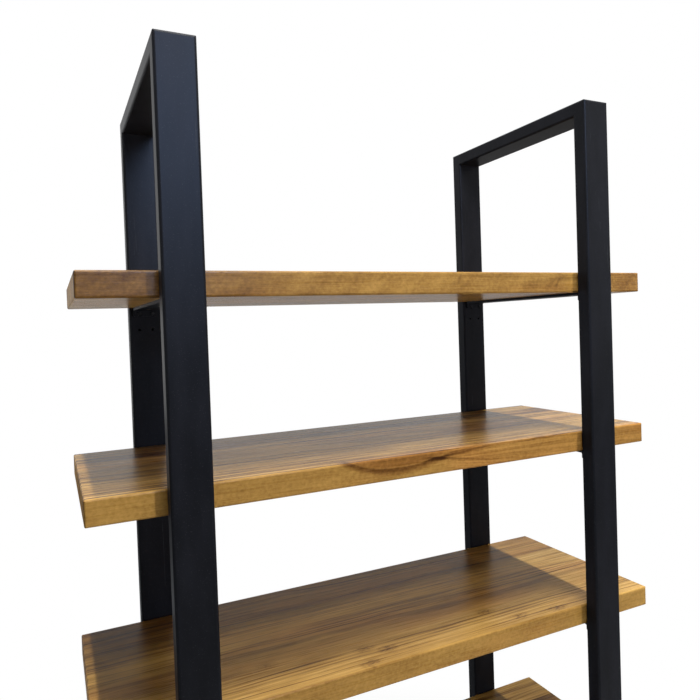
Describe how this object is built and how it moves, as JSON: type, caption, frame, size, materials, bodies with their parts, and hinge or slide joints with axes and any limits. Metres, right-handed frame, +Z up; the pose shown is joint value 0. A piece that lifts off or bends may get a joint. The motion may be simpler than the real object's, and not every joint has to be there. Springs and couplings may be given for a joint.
{
  "type": "bookcase with adjustable shelves",
  "caption": "Open bookcase: two upright steel hoop frames hold thick wooden shelves that lift off and hang again at other heights, on levelling feet.",
  "frame": {"origin": "on the floor, under the centre of the bookcase", "axes": "+X along the shelves to the right as seen from the front, +Y from the front to the back, +Z up"},
  "size_m": [1.12, 0.41, 1.95],
  "materials": {
    "powder_coat": "satin black powder coat with a fine orange-peel texture",
    "wood": "oiled solid teak-like hardwood, grain along the shelf",
    "bright_steel": "zinc-plated steel",
    "black_steel": "black zinc-plated steel",
    "foot_plastic": "black moulded plastic"
  },
  "bodies": {
    "frames": {"front_post_left": "powder_coat", "rear_post_left": "powder_coat", "top_rail_left": "powder_coat", "bottom_rail_left": "powder_coat", "front_post_right": "powder_coat", "rear_post_right": "powder_coat", "top_rail_right": "powder_coat", "bottom_rail_right": "powder_coat", "inserts_front_left": "black_steel", "inserts_rear_left": "black_steel", "inserts_front_right": "black_steel", "inserts_rear_right": "black_steel", "shoulder_studs_1": "black_steel", "shoulder_studs_2": "black_steel", "shoulder_studs_3": "black_steel", "shoulder_studs_4": "black_steel", "shoulder_studs_5": "black_steel", "foot_inserts": "bright_steel"},
    "shelf_1_assembly": {"shelf_1": "wood", "support_bar_left_1": "powder_coat", "support_bar_right_1": "powder_coat", "wood_screws_1": "bright_steel"},
    "shelf_2_assembly": {"shelf_2": "wood", "support_bar_left_2": "powder_coat", "support_bar_right_2": "powder_coat", "wood_screws_2": "bright_steel"},
    "shelf_3_assembly": {"shelf_3": "wood", "support_bar_left_3": "powder_coat", "support_bar_right_3": "powder_coat", "wood_screws_3": "bright_steel"},
    "shelf_4_assembly": {"shelf_4": "wood", "support_bar_left_4": "powder_coat", "support_bar_right_4": "powder_coat", "wood_screws_4": "bright_steel"},
    "shelf_5_assembly": {"shelf_5": "wood", "support_bar_left_5": "powder_coat", "support_bar_right_5": "powder_coat", "wood_screws_5": "bright_steel"},
    "foot_front_left": {"foot_pad_front_left": "foot_plastic", "foot_stem_front_left": "bright_steel"},
    "foot_rear_left": {"foot_pad_rear_left": "foot_plastic", "foot_stem_rear_left": "bright_steel"},
    "foot_front_right": {"foot_pad_front_right": "foot_plastic", "foot_stem_front_right": "bright_steel"},
    "foot_rear_right": {"foot_pad_rear_right": "foot_plastic", "foot_stem_rear_right": "bright_steel"}
  },
  "joints": [
    {"name": "shelf_1_lift", "type": "slide", "parent": "frames", "child": "shelf_1_assembly", "axis": [0, 0, 1], "range_m": [0, 0.305]},
    {"name": "shelf_2_lift", "type": "slide", "parent": "frames", "child": "shelf_2_assembly", "axis": [0, 0, 1], "range_m": [0, 0.26]},
    {"name": "shelf_3_lift", "type": "slide", "parent": "frames", "child": "shelf_3_assembly", "axis": [0, 0, 1], "range_m": [0, 0.292]},
    {"name": "shelf_4_lift", "type": "slide", "parent": "frames", "child": "shelf_4_assembly", "axis": [0, 0, 1], "range_m": [0, 0.324]},
    {"name": "shelf_5_lift", "type": "slide", "parent": "frames", "child": "shelf_5_assembly", "axis": [0, 0, 1], "range_m": [0, 0.356]},
    {"name": "foot_front_left_height", "type": "slide", "parent": "frames", "child": "foot_front_left", "axis": [0, 0, -1], "range_m": [0, 0.01]},
    {"name": "foot_rear_left_height", "type": "slide", "parent": "frames", "child": "foot_rear_left", "axis": [0, 0, -1], "range_m": [0, 0.01]},
    {"name": "foot_front_right_height", "type": "slide", "parent": "frames", "child": "foot_front_right", "axis": [0, 0, -1], "range_m": [0, 0.01]},
    {"name": "foot_rear_right_height", "type": "slide", "parent": "frames", "child": "foot_rear_right", "axis": [0, 0, -1], "range_m": [0, 0.01]}
  ]
}
